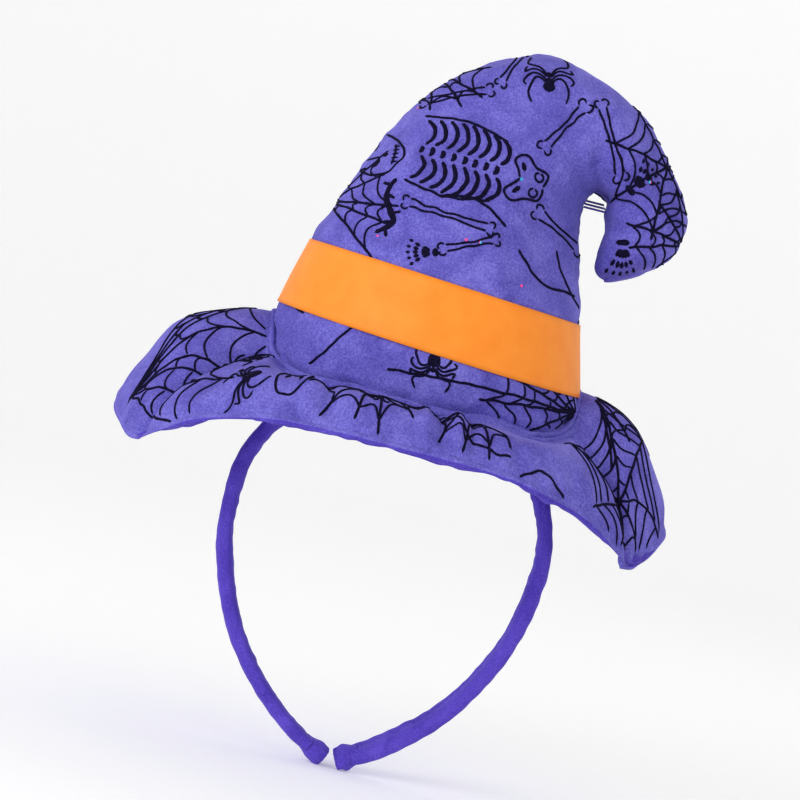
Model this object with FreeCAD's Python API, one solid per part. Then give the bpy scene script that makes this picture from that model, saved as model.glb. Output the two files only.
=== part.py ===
"""Plush miniature witch hat sewn on a sprung headband.

The hat is a stuffed crown with a bent-over tip, standing on a padded saddle-shaped brim. A ribbon runs round the
crown. Three thread loops sew the brim's underside to the top of a fabric-covered plastic headband, whose two legs
spring apart over the wearer's head.

Frame, in millimetres: the origin is the middle of the headband's inner face, where it rests on the top of the head.
+Z is up, +X is towards the side that the tip hangs on, and the hat's front faces -Y.
"""

import FreeCAD, Part
import math
import os

from FreeCAD import Vector

# ---- headband --------------------------------------------------------------------------------------------------
SLEEVE_THICK = 6.0        # plush-covered band, inner face to outer face
SLEEVE_WIDE = 11.5        # plush-covered band, front edge to back edge
SLEEVE_CORNER = 2.4       # rounding of the covered band's four edges
CORE_THICK = 2.0          # plastic strip
CORE_WIDE = 8.5
CORE_CORNER = 0.8
BAND_TOP_RADIUS = 66.0    # centre line over the top of the head
BAND_TOP_HALF_ANGLE = 35.0
BAND_HALF_SPAN = 58.0     # centre line to the middle plane, at the widest place
BAND_LEG_RADIUS = 95.0    # centre line of the leg, from the widest place to its end
BAND_LEG_TURN = 62.5      # degrees that the leg turns inwards
HINGE_GAP = 0.3           # radial clearance between bridge and leg at the flexing place
END_WRAP_RADIUS = 4.3     # folded cloth over the end of a leg
END_WRAP_WIDE = 13.0
END_WRAP_CORNER = 2.8
CORE_END_SHORT = 1.5      # degrees of leg arc by which the plastic stops short of the cover's end

# ---- cloth -----------------------------------------------------------------------------------------------------
CLOTH = 1.2               # printed plush with its pile
RIBBON_THICK = 0.6
RIBBON_WIDE = 25.0
RIBBON_MID_HEIGHT = 18.6  # over the middle of the brim's thickness
RIBBON_ROLL = 3.5         # degrees, lower on the +X side
RIBBON_PITCH = 3.0        # degrees, higher at the front
RIBBON_LAP = 18.0         # length of the overlapped end at the back
WELT_OUT = 1.4            # hem between crown and brim: how far it stands out of the crown
WELT_HIGH = 1.8
THREAD = 0.8

# ---- brim ------------------------------------------------------------------------------------------------------
BRIM_CENTRE_X = -4.5
BRIM_HALF_LONG = 102.5    # along X
BRIM_HALF_DEEP = 80.0     # along Y
BRIM_THICK = 13.0
BRIM_REST_GAP = 0.9       # between the sleeve's outer face and the brim's underside, filled by a tack loop
WING_DROP = 38.0          # how far the brim's two ends hang below its middle
FLAP_DROP = 27.0          # how far its front and back edges hang
WING_TWIST = 2.4          # how much more the front and back edges hang towards the ends

# ---- crown -----------------------------------------------------------------------------------------------------
# Each section is a flat oval across the crown: (x, height) on the long side of the bend, (x, height) on its short
# side, and half its depth along Y. Heights are over the middle of the brim's thickness. The sections stand up
# through the brim, fan round the fold, then run down the hanging tip.
CROWN_SECTIONS = [
    ((-59.5, -34.0), (60.5, -34.0), 51.5),
    ((-60.0, -16.0), (58.8, -16.0), 51.5),
    ((-59.3, 2.0), (56.0, 1.0), 51.0),
    ((-55.5, 23.0), (51.3, 20.0), 48.5),
    ((-49.5, 43.0), (46.0, 40.0), 44.5),
    ((-41.5, 64.0), (41.5, 58.0), 39.5),
    ((-30.0, 87.0), (40.4, 69.5), 34.5),
    ((-9.5, 110.5), (42.0, 74.5), 30.0),
    ((19.0, 119.8), (44.5, 76.0), 26.5),
    ((45.5, 111.0), (47.0, 74.5), 23.5),
    ((64.5, 96.5), (49.0, 69.0), 20.5),
    ((76.5, 80.5), (49.6, 61.5), 18.0),
    ((79.5, 68.0), (49.8, 53.5), 15.5),
    ((75.5, 58.0), (50.8, 48.0), 11.0),
    ((68.5, 52.5), (54.5, 46.5), 5.5),
]
FOLD_SECTION = 6          # the section at the top of the fold's short side

FRONT_SIDE = -1
LEFT, RIGHT = -1, 1


def mid_plane(x, z):
    """A point on the middle plane Y = 0."""
    return Vector(x, 0, z)


# ---- headband shapes -------------------------------------------------------------------------------------------
BAND_TOP_Z = SLEEVE_THICK / 2
TOP_CENTRE = mid_plane(0, BAND_TOP_Z - BAND_TOP_RADIUS)
_top = math.radians(BAND_TOP_HALF_ANGLE)
BAND_SIDE_RADIUS = (BAND_HALF_SPAN - BAND_TOP_RADIUS * math.sin(_top)) / (1 - math.sin(_top))
_shift = BAND_TOP_RADIUS - BAND_SIDE_RADIUS
SIDE_CENTRE = TOP_CENTRE + Vector(_shift * math.sin(_top), 0, _shift * math.cos(_top))
LEG_CENTRE = mid_plane(BAND_HALF_SPAN - BAND_LEG_RADIUS, SIDE_CENTRE.z)
HINGE_POINT = TOP_CENTRE + Vector(BAND_TOP_RADIUS * math.sin(_top), 0, BAND_TOP_RADIUS * math.cos(_top))
_turn = math.radians(BAND_LEG_TURN)
LEG_END = LEG_CENTRE + Vector(BAND_LEG_RADIUS * math.cos(_turn), 0, -BAND_LEG_RADIUS * math.sin(_turn))


def rounded_profile(thick, wide, corner):
    """Closed face in the X-Y plane about the origin: thick along X, wide along Y, with rounded corners."""
    hx, hy = thick / 2 - corner, wide / 2 - corner
    edges = []
    for sx, sy, start in ((1, 1, 0), (-1, 1, 90), (-1, -1, 180), (1, -1, 270)):
        centre = Vector(sx * hx, sy * hy, 0)
        edges.append(Part.ArcOfCircle(Part.Circle(centre, Vector(0, 0, 1), corner),
                                      math.radians(start), math.radians(start + 90)).toShape())
    outline = []
    for i, arc in enumerate(edges):
        following = edges[(i + 1) % len(edges)]
        outline.append(arc)
        outline.append(Part.LineSegment(arc.Vertexes[-1].Point, following.Vertexes[0].Point).toShape())
    return Part.Face(Part.Wire(outline))


def band_arc(profile, centre, radius, from_angle, to_angle):
    """The profile swept round `centre` at `radius`, between two angles in degrees from straight up towards +X."""
    section = profile.copy()
    section.translate(Vector(radius, 0, 0))
    section.rotate(Vector(), Vector(0, 1, 0), from_angle - 90)
    section.translate(centre)
    return section.revolve(centre, Vector(0, 1, 0), to_angle - from_angle)


def cylinder_along_y(centre, radius, length):
    """A cylinder about the Y direction, centred on `centre`."""
    return Part.makeCylinder(radius, length, centre - Vector(0, length / 2, 0), Vector(0, 1, 0))


def bridge_band(profile):
    """The top arc of the band, ending in a hollow round each flexing place."""
    whole = band_arc(profile, TOP_CENTRE, BAND_TOP_RADIUS, -BAND_TOP_HALF_ANGLE, BAND_TOP_HALF_ANGLE)
    for side in (LEFT, RIGHT):
        place = Vector(side * HINGE_POINT.x, 0, HINGE_POINT.z)
        whole = whole.cut(cylinder_along_y(place, SLEEVE_THICK / 2 + HINGE_GAP, 2 * SLEEVE_WIDE))
    return whole


def leg_band(profile, short_by=0.0):
    """The right-hand leg: a rounded start about the flexing place, the side arc, then the long arc inwards."""
    lead_in = math.degrees(SLEEVE_THICK / BAND_TOP_RADIUS)
    start = band_arc(profile, TOP_CENTRE, BAND_TOP_RADIUS, BAND_TOP_HALF_ANGLE - lead_in, BAND_TOP_HALF_ANGLE)
    start = start.common(cylinder_along_y(HINGE_POINT, SLEEVE_THICK / 2, 2 * SLEEVE_WIDE))
    side = band_arc(profile, SIDE_CENTRE, BAND_SIDE_RADIUS, BAND_TOP_HALF_ANGLE, 90)
    leg = band_arc(profile, LEG_CENTRE, BAND_LEG_RADIUS, 90, 90 + BAND_LEG_TURN - short_by)
    return start.fuse([side, leg]).removeSplitter()


def mirrored(shape):
    """The same shape on the -X side."""
    return shape.mirror(Vector(), Vector(1, 0, 0))


def end_wrap(sleeve_outside):
    """Cloth folded over the leg's end: a short roll across the band with rounded ends, less the band it grips."""
    roll = cylinder_along_y(LEG_END, END_WRAP_RADIUS, END_WRAP_WIDE)
    rims = [edge for edge in roll.Edges if isinstance(edge.Curve, Part.Circle)]
    return largest(roll.makeFillet(END_WRAP_CORNER, rims).cut(sleeve_outside))


# ---- helpers for solids ----------------------------------------------------------------------------------------
def largest(shape):
    """The biggest solid in a shape."""
    return max(shape.Solids, key=lambda s: s.Volume)


def half_space(side):
    """A big box on one side of the plane Y = 0."""
    size = 4 * BRIM_HALF_LONG
    corner_y = -size if side == FRONT_SIDE else 0
    return Part.makeBox(size, size, size, Vector(-size / 2, corner_y, -size / 2))


# ---- brim shapes -----------------------------------------------------------------------------------------------
BRIM_MIDDLE_Z = SLEEVE_THICK + BRIM_REST_GAP + BRIM_THICK / 2


def brim_mid_height(x, y):
    """Height of the brim's middle surface: a disc whose ends and whose front and back edges hang down."""
    u = (x - BRIM_CENTRE_X) / BRIM_HALF_LONG
    v = max(-1.0, min(1.0, y / BRIM_HALF_DEEP))
    flap = FLAP_DROP / 2 * (1 - math.cos(math.pi * v)) * (1 + WING_TWIST * u ** 4)
    return BRIM_MIDDLE_Z - WING_DROP * u ** 6 - flap


def brim_half_thickness(x, y, inset):
    """Half the brim's height at a place: rounded off towards the edge, and measured square to a sloping brim."""
    u = (x - BRIM_CENTRE_X) / (BRIM_HALF_LONG - inset)
    v = y / (BRIM_HALF_DEEP - inset)
    rim = max(0.0, 1 - (u * u + v * v) ** 3)
    step = 0.5
    slope_x = (brim_mid_height(x + step, y) - brim_mid_height(x - step, y)) / (2 * step)
    slope_y = (brim_mid_height(x, y + step) - brim_mid_height(x, y - step)) / (2 * step)
    lean = min(1.5, math.sqrt(1 + slope_x ** 2 + slope_y ** 2))
    return (BRIM_THICK / 2 - inset) * math.sqrt(rim) * lean


def brim_section(u, inset):
    """Closed lens-shaped wire across the brim in a plane of constant X."""
    x = BRIM_CENTRE_X + u * (BRIM_HALF_LONG - inset)
    half = (BRIM_HALF_DEEP - inset) * math.sqrt(1 - u * u)
    steps = 10
    edges = []
    for face in (1, -1):
        points = []
        for i in range(steps + 1):
            y = -half * math.cos(math.pi * i / steps)
            z = brim_mid_height(x, y)
            if 0 < i < steps:
                z += face * brim_half_thickness(x, y, inset)
            points.append(Vector(x, y, z))
        curve = Part.BSplineCurve()
        curve.interpolate(Points=points, Parameters=[i / steps for i in range(steps + 1)])
        edges.append(curve.toShape())
    return Part.Wire([edges[0], edges[1]])


def brim_solid(inset):
    """The stuffed brim as one closed lens, smaller all round by `inset`."""
    stations = [math.sin(math.radians(a)) for a in (-85, -76, -64, -50, -35, -18, 0, 18, 35, 50, 64, 76, 85)]
    return Part.makeLoft([brim_section(u, inset) for u in stations], True, False)


def above_brim_middle():
    """Everything above the brim's middle surface, for parting the two cloth discs at the edge seam."""
    reach_x, reach_y = BRIM_HALF_LONG * 1.04, BRIM_HALF_DEEP * 1.1
    rows = []
    for i in range(17):
        x = BRIM_CENTRE_X + reach_x * (i / 8 - 1)
        rows.append([Vector(x, reach_y * (j / 8 - 1), brim_mid_height(x, reach_y * (j / 8 - 1))) for j in range(17)])
    surface = Part.BSplineSurface()
    surface.interpolate(rows)
    return surface.toShape().extrude(Vector(0, 0, 4 * BRIM_HALF_DEEP))


# ---- crown shapes ----------------------------------------------------------------------------------------------
def crown_section(section, grow):
    """Closed oval wire across the crown, bigger all round by `grow`: a unit circle stretched into place."""
    long_side, short_side, half_deep = section
    outer = mid_plane(long_side[0], BRIM_MIDDLE_Z + long_side[1])
    inner = mid_plane(short_side[0], BRIM_MIDDLE_Z + short_side[1])
    centre = (outer + inner) / 2
    half = (outer - inner) / 2
    half = half * (1 + grow / half.Length)
    towards_tip = Vector(0, 1, 0).cross(half).normalize()
    if section is CROWN_SECTIONS[-1]:
        centre = centre + towards_tip * grow
    into_place = FreeCAD.Matrix(half.x, 0, towards_tip.x, centre.x,
                                0, half_deep + grow, 0, 0,
                                half.z, 0, towards_tip.z, centre.z,
                                0, 0, 0, 1)
    circle = Part.Circle(Vector(), Vector(0, 0, 1), 1).toShape()
    return Part.Wire([circle.transformGeometry(into_place)])


def crown_solid(grow):
    """The whole crown and tip as one closed solid, bigger all round by `grow`."""
    return Part.makeLoft([crown_section(s, grow) for s in CROWN_SECTIONS], True, False)


def crown_layer(outer_grow, inner_grow):
    """The hollow layer between two sizes of the crown: the outer skin, with the inner one turned inside out."""
    outer = crown_solid(outer_grow).Shells[0]
    inner = crown_solid(inner_grow).Shells[0].reversed()
    return Part.makeSolid(Part.Compound([outer, inner]))


def ribbon_slab():
    """The tilted slice of space that the ribbon occupies."""
    size = 4 * BRIM_HALF_DEEP
    slab = Part.makeBox(size, size, RIBBON_WIDE, Vector(-size / 2, -size / 2, -RIBBON_WIDE / 2))
    slab.rotate(Vector(), Vector(0, 1, 0), RIBBON_ROLL)
    slab.rotate(Vector(), Vector(1, 0, 0), -RIBBON_PITCH)
    slab.translate(Vector(0, 0, BRIM_MIDDLE_Z + RIBBON_MID_HEIGHT))
    return slab


# ---- small pieces ----------------------------------------------------------------------------------------------
TIP_TACKS = [(0.5, -3.0), (2.0, 0.0), (3.5, 3.0)]       # height over the fold section's short side, and Y
TACK_LOOP_ANGLES = (-10.0, 0.0, 10.0)
SPECK_RADIUS = 0.55
SPECK_HIGH = 0.35
SPECK_PLACES = [(-26.5, 88.6), (-24.5, 38.3), (-28.5, 38.6), (1.5, 44.6), (6.5, 45.0), (24.0, 34.2), (-2.8, 6.5),
                (33.0, 83.6), (15.0, 70.6), (60.0, 82.6), (-8.0, 98.6)]     # x, height over the brim's middle


def crown_meets(crown, start, direction):
    """Where a straight line meets the crown's cloth, in order along it, each with the outward normal there."""
    line = Part.Line(start, start + direction)
    meets = []
    for face in crown.Faces:
        if isinstance(face.Surface, Part.BSplineSurface):
            for point in line.intersectCS(face.Surface)[0]:
                place = Vector(point.X, point.Y, point.Z)
                normal = face.normalAt(*face.Surface.parameter(place))
                meets.append((place, normal))
    return sorted(meets, key=lambda meet: (meet[0] - start).dot(direction))


def tip_tack_stitches(crown):
    """Threads across the top of the fold, from the crown to the hanging tip, that hold the tip down."""
    fold_height = CROWN_SECTIONS[FOLD_SECTION][1][1]
    stitches = []
    for height, y in TIP_TACKS:
        start = Vector(0, y, BRIM_MIDDLE_Z + fold_height + height)
        near, far = [place for place, normal in crown_meets(crown, start, Vector(1, 0, 0)) if place.x > 0][:2]
        thread = Part.makeCylinder(THREAD / 2, far.x - near.x + 2 * THREAD, near - Vector(THREAD, 0, 0), Vector(1, 0, 0))
        stitches.append(largest(thread.cut(crown)))
    return Part.Compound(stitches)


def tack_loops(brim):
    """Thread loops round the covered band, each with a thread up into the brim's underside."""
    inner = rounded_profile(SLEEVE_THICK, SLEEVE_WIDE, SLEEVE_CORNER)
    outer = rounded_profile(SLEEVE_THICK + 2 * THREAD, SLEEVE_WIDE + 2 * THREAD, SLEEVE_CORNER + THREAD)
    ring = outer.cut(inner)
    half_turn = math.degrees(THREAD / 2 / BAND_TOP_RADIUS)
    loops = []
    for angle in TACK_LOOP_ANGLES:
        loop = band_arc(ring.Faces[0], TOP_CENTRE, BAND_TOP_RADIUS, angle - half_turn, angle + half_turn)
        lean = math.radians(angle)
        reach = BAND_TOP_RADIUS + SLEEVE_THICK / 2 + THREAD / 2
        foot = TOP_CENTRE + Vector(reach * math.sin(lean), 0, reach * math.cos(lean))
        thread = Part.makeCylinder(THREAD / 2, BRIM_THICK, foot, Vector(0, 0, 1))
        loops.append(largest(loop.fuse(thread).cut(brim)))
    return Part.Compound(loops)


def glitter_specks(crown):
    """Loose specks of glitter caught in the pile on the front of the crown."""
    specks = []
    for x, height in SPECK_PLACES:
        start = Vector(x, 0, BRIM_MIDDLE_Z + height)
        place, normal = crown_meets(crown, start, Vector(0, 1, 0))[0]
        specks.append(Part.makeCylinder(SPECK_RADIUS, SPECK_HIGH, place, normal))
    return Part.Compound(specks)


def main():
    """Builds every sub-part and writes one STEP file for each."""
    nodes = {}

    sleeve_face = rounded_profile(SLEEVE_THICK, SLEEVE_WIDE, SLEEVE_CORNER)
    core_face = rounded_profile(CORE_THICK, CORE_WIDE, CORE_CORNER)
    bridge_core = bridge_band(core_face)
    nodes["band_core_bridge"] = bridge_core
    nodes["band_sleeve_bridge"] = bridge_band(sleeve_face).cut(bridge_core)

    leg_outside = leg_band(sleeve_face)
    leg_core = leg_band(core_face, CORE_END_SHORT)
    leg_parts = {
        "band_core": leg_core,
        "band_sleeve": leg_outside.cut(leg_core),
        "band_end_wrap": end_wrap(leg_outside),
    }
    for name, shape in leg_parts.items():
        nodes[name + "_right"] = shape
        nodes[name + "_left"] = mirrored(shape)

    brim = brim_solid(0)
    wadding = brim_solid(CLOTH)
    brim_cloth = brim.cut(wadding)
    upper = above_brim_middle()
    nodes["brim_wadding"] = wadding
    nodes["brim_top_panel"] = largest(brim_cloth.common(upper))
    nodes["brim_under_panel"] = largest(brim_cloth.cut(upper))

    crown_cloth = crown_layer(0, -CLOTH).cut(brim)
    nodes["crown_stuffing"] = largest(crown_solid(-CLOTH).cut(brim))
    nodes["crown_front_panel"] = largest(crown_cloth.common(half_space(FRONT_SIDE)))
    nodes["crown_back_panel"] = largest(crown_cloth.common(half_space(-FRONT_SIDE)))

    raised_brim = brim.translated(Vector(0, 0, WELT_HIGH))
    nodes["crown_hem_welt"] = largest(crown_layer(WELT_OUT, 0).common(raised_brim).cut(brim))

    slab = ribbon_slab()
    lap_box = Part.makeBox(RIBBON_LAP, 2 * BRIM_HALF_DEEP, 2 * BRIM_HALF_DEEP, Vector(-RIBBON_LAP / 2, 0, 0))
    nodes["ribbon_band"] = largest(crown_layer(RIBBON_THICK, 0).common(slab).cut(raised_brim))
    nodes["ribbon_end_lap"] = largest(crown_layer(2 * RIBBON_THICK, RIBBON_THICK).common(slab).common(lap_box))

    crown = crown_solid(0)
    nodes["tip_tack_stitches"] = tip_tack_stitches(crown)
    nodes["band_tack_loops"] = tack_loops(brim)
    nodes["glitter_specks"] = glitter_specks(crown)

    os.makedirs("parts", exist_ok=True)
    for name, shape in nodes.items():
        shape.exportStep(os.path.join("parts", name + ".step"))
        box = shape.BoundBox
        print(f"{name:22s} solids {len(shape.Solids):2d} valid {shape.isValid()} volume {shape.Volume:10.1f} "
              f"x {box.XMin:7.1f} {box.XMax:7.1f} y {box.YMin:6.1f} {box.YMax:6.1f} z {box.ZMin:7.1f} {box.ZMax:7.1f}")
    print("hinge", HINGE_POINT, "side radius", BAND_SIDE_RADIUS, "leg end", LEG_END)


main()
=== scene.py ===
"""Plush miniature witch hat sewn on a sprung headband, in metres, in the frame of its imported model."""

import math

import bmesh
import bpy
import numpy as np
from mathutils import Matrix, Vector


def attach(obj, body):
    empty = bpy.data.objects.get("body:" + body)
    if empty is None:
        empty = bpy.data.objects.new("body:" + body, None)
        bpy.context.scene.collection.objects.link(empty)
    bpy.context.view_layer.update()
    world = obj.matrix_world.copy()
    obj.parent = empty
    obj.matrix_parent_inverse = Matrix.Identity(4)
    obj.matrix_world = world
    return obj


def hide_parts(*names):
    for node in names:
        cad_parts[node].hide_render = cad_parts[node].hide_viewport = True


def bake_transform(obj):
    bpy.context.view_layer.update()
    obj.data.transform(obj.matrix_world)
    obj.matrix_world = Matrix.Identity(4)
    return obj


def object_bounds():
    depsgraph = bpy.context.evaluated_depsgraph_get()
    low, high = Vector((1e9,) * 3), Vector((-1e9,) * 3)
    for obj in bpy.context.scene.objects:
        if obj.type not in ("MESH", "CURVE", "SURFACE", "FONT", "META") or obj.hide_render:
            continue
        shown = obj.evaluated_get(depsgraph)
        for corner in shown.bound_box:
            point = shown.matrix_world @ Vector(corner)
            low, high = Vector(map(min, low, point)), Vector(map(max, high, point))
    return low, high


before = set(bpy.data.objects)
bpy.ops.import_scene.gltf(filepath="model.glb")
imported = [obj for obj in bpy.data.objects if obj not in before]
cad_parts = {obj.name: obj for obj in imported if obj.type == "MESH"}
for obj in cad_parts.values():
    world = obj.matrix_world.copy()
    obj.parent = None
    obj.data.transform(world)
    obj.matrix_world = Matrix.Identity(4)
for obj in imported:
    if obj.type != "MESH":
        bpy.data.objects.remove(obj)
cad_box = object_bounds()


# ==== Camera, floor and light ===============================================================================
# The hat is seen level from the front and tipped over to its own left. It stands free over a plain white
# floor, in soft light from all round, with a soft lamp in front and above and a weaker one behind.
MM = 0.001
VIEW_CENTRE = (-6.9 * MM, 0.0, -1.2 * MM)
VIEW_DISTANCE = 811 * MM
VIEW_ROLL = math.radians(14.35)

camera = bpy.data.objects.new("camera", bpy.data.cameras.new("camera"))
camera.data.lens = 100
camera.data.sensor_width = 36
camera.location = (VIEW_CENTRE[0], -VIEW_DISTANCE, VIEW_CENTRE[2])
camera.rotation_euler = (math.radians(90), -VIEW_ROLL, 0)
bpy.context.scene.collection.objects.link(camera)
bpy.context.scene.camera = camera
bpy.context.scene.view_settings.view_transform = "Standard"


def linear(hex_colour):
    """The shader's linear colour for an sRGB hex value such as #6761ba."""
    channels = np.array([int(hex_colour[i:i + 2], 16) / 255 for i in (1, 3, 5)])
    curve = np.where(channels <= 0.04045, channels / 12.92, ((channels + 0.055) / 1.055) ** 2.4)
    return (*curve, 1.0)


def add(tree, kind, inputs=None, **settings):
    """Adds one node. `inputs` maps a socket's name or number to a value, or to the output that feeds it."""
    made = tree.nodes.new(kind)
    for name, value in settings.items():
        setattr(made, name, value)
    for socket, value in (inputs or {}).items():
        if isinstance(value, bpy.types.NodeSocket):
            tree.links.new(value, made.inputs[socket])
        else:
            made.inputs[socket].default_value = value
    return made


def new_material(name):
    """An empty material, its node tree and its output node."""
    material = bpy.data.materials.new(name)
    material.use_nodes = True
    material.node_tree.nodes.clear()
    return material, material.node_tree, material.node_tree.nodes.new("ShaderNodeOutputMaterial")


def link_piece(name, mesh, material):
    """An object for a mesh, at the origin, smooth and with its material."""
    mesh.shade_smooth()
    mesh.materials.append(material)
    piece = bpy.data.objects.new(name, mesh)
    bpy.context.scene.collection.objects.link(piece)
    return piece


# White light from all round, as in a light tent.
world = bpy.data.worlds.new("studio")
world.use_nodes = True
bpy.context.scene.world = world
world.node_tree.nodes["Background"].inputs["Color"].default_value = (1, 1, 1, 1)
world.node_tree.nodes["Background"].inputs["Strength"].default_value = 0.45


def soft_lamp(name, place, size, watts):
    """A square soft lamp at a place, turned towards the hat."""
    lamp = bpy.data.objects.new(name, bpy.data.lights.new(name, "AREA"))
    lamp.data.size = size
    lamp.data.energy = watts
    lamp.location = place
    lamp.rotation_euler = lamp.location.to_track_quat("Z", "Y").to_euler()
    bpy.context.scene.collection.objects.link(lamp)


soft_lamp("key_softbox", (-0.85, -1.05, 0.4), 0.7, 7.5)
soft_lamp("rim_softbox", (0.9, 0.6, 0.8), 0.7, 1.2)


def merge_doubles(mesh):
    """Merges points that coincide, so that poles and seams are closed."""
    work = bmesh.new()
    work.from_mesh(mesh)
    bmesh.ops.remove_doubles(work, verts=work.verts, dist=1e-6)
    work.to_mesh(mesh)
    work.free()


def grid_mesh(name, points, wrap=False, flat=None, flip=False, close=False):
    """A mesh on a grid of points (rows, columns, 3) in mm. `wrap` joins the last column to the first, `flat`
    is the cloth's own coordinates in mm, with one more column when it wraps, `flip` turns the faces over, and
    `close` merges rows that meet at a pole or a seam."""
    rows, columns = points.shape[:2]
    index = np.arange(rows * columns).reshape(rows, columns)
    left, right = (index, np.roll(index, -1, axis=1)) if wrap else (index[:, :-1], index[:, 1:])
    quads = np.stack([left[:-1], right[:-1], right[1:], left[1:]], -1)
    quads = quads[..., ::-1] if flip else quads
    mesh = bpy.data.meshes.new(name)
    mesh.from_pydata((points.reshape(-1, 3) * MM).tolist(), [], quads.reshape(-1, 4).tolist())
    if flat is not None:
        corners = np.stack([flat[:-1, :-1], flat[:-1, 1:], flat[1:, 1:], flat[1:, :-1]], 2)
        corners = corners[:, :, ::-1] if flip else corners
        mesh.uv_layers.new(name="cloth_mm").data.foreach_set("uv", corners.astype(np.float32).ravel())
    if close:
        merge_doubles(mesh)
    return mesh


# Painted studio floor: matt white, with nothing to see on it but the soft shadow. It bends up into a round
# wall.
floor_white, tree, out = new_material("studio_floor_white_paint")
paint = add(tree, "ShaderNodeBsdfPrincipled", {"Base Color": linear("#f6f6f6"), "Roughness": 0.9,
                                               "Emission Color": linear("#ffffff"), "Emission Strength": 0.22})
tree.links.new(paint.outputs[0], out.inputs[0])
FLOOR_FLAT, FLOOR_BEND, WALL_TOP = 2.6, 1.2, 4.5    # radius of the flat part and of the bend, height; metres
floor_z = cad_box[0].z - 1.0 * MM
turn = np.linspace(0, math.pi / 2, 24)
profile_r = np.concatenate([[0.0, 0.5, 1.5], FLOOR_FLAT + FLOOR_BEND * np.sin(turn), [FLOOR_FLAT + FLOOR_BEND]])
profile_z = np.concatenate([[0.0, 0.0, 0.0], FLOOR_BEND * (1 - np.cos(turn)), [WALL_TOP]]) + floor_z
compass = np.linspace(0, 2 * math.pi, 96, endpoint=False)
studio_shape = np.stack(np.broadcast_arrays(profile_r[:, None] * np.cos(compass),
                                            profile_r[:, None] * np.sin(compass), profile_z[:, None]), -1) / MM
studio_mesh = grid_mesh("studio_floor", studio_shape, wrap=True, close=True)
link_piece("studio_floor", studio_mesh, floor_white)


# ==== Headband: plastic strip ===============================================================================
# A strip of black polypropylene, moulded flat and sprung into shape. It shows only where the cover is open,
# so its own solids stay, with a moulded plastic finish.
moulded_black, tree, out = new_material("moulded_polypropylene_black")
grain = add(tree, "ShaderNodeTexNoise", {"Scale": 2500.0, "Detail": 3.0})
relief = add(tree, "ShaderNodeBump", {"Strength": 0.15, "Distance": 0.0001, "Height": grain.outputs[0]})
plastic = add(tree, "ShaderNodeBsdfPrincipled", {"Base Color": linear("#16161a"), "Roughness": 0.45,
                                                 "IOR": 1.49, "Normal": relief.outputs[0]})
tree.links.new(plastic.outputs[0], out.inputs[0])
for side in ("bridge", "left", "right"):
    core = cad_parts["band_core_" + side]
    core.data.materials.clear()
    core.data.materials.append(moulded_black)


# ==== Headband: plush cover =================================================================================
# A tube of plain purple velour, sewn along its inner face and pulled over the strip. The cloth is tight, with
# small cross wrinkles inside the bends, and the right leg's cover has turned a little on the strip.
BAND_THICK, BAND_WIDE = 6.0, 11.5
BAND_TOP_RADIUS, BAND_TOP_ANGLE = 66.0, math.radians(35)
BAND_HALF_SPAN, BAND_LEG_RADIUS, BAND_LEG_TURN = 58.0, 95.0, math.radians(62.5)
SIDE_RADIUS = (BAND_HALF_SPAN - BAND_TOP_RADIUS * math.sin(BAND_TOP_ANGLE)) / (1 - math.sin(BAND_TOP_ANGLE))
HALF_BAND = (BAND_TOP_RADIUS * BAND_TOP_ANGLE + SIDE_RADIUS * (math.pi / 2 - BAND_TOP_ANGLE)
             + BAND_LEG_RADIUS * BAND_LEG_TURN)
SEAM_STITCH = 3.0       # length of one stitch in the cover's seam
PATCH, TUFT, WRINKLE = 14 * MM, 0.75 * MM, 3.2 * MM     # sizes in the velour's pile, in metres


def soft_noise(points, size, seed):
    """A smooth random field, mostly from -1 to 1: sine waves of about that length in random directions, added
    up."""
    chance = np.random.default_rng(seed)
    waves = 28
    across = chance.normal(size=(waves, points.shape[-1]))
    across /= np.linalg.norm(across, axis=1, keepdims=True)
    across *= (2 * np.pi / size * chance.uniform(0.7, 1.5, waves))[:, None]
    return np.sin(points @ across.T + chance.uniform(0, 2 * np.pi, waves)).sum(-1) / np.sqrt(waves * 2)


def bump_at(x, centre, width):
    """A smooth bump of height 1 about a place: the Gaussian curve."""
    return np.exp(-((x - centre) / width) ** 2)


def ease(x, low, high):
    """0 below low, 1 above high, and a smooth step between them."""
    t = np.clip((x - low) / (high - low), 0, 1)
    return t * t * (3 - 2 * t)


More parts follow.
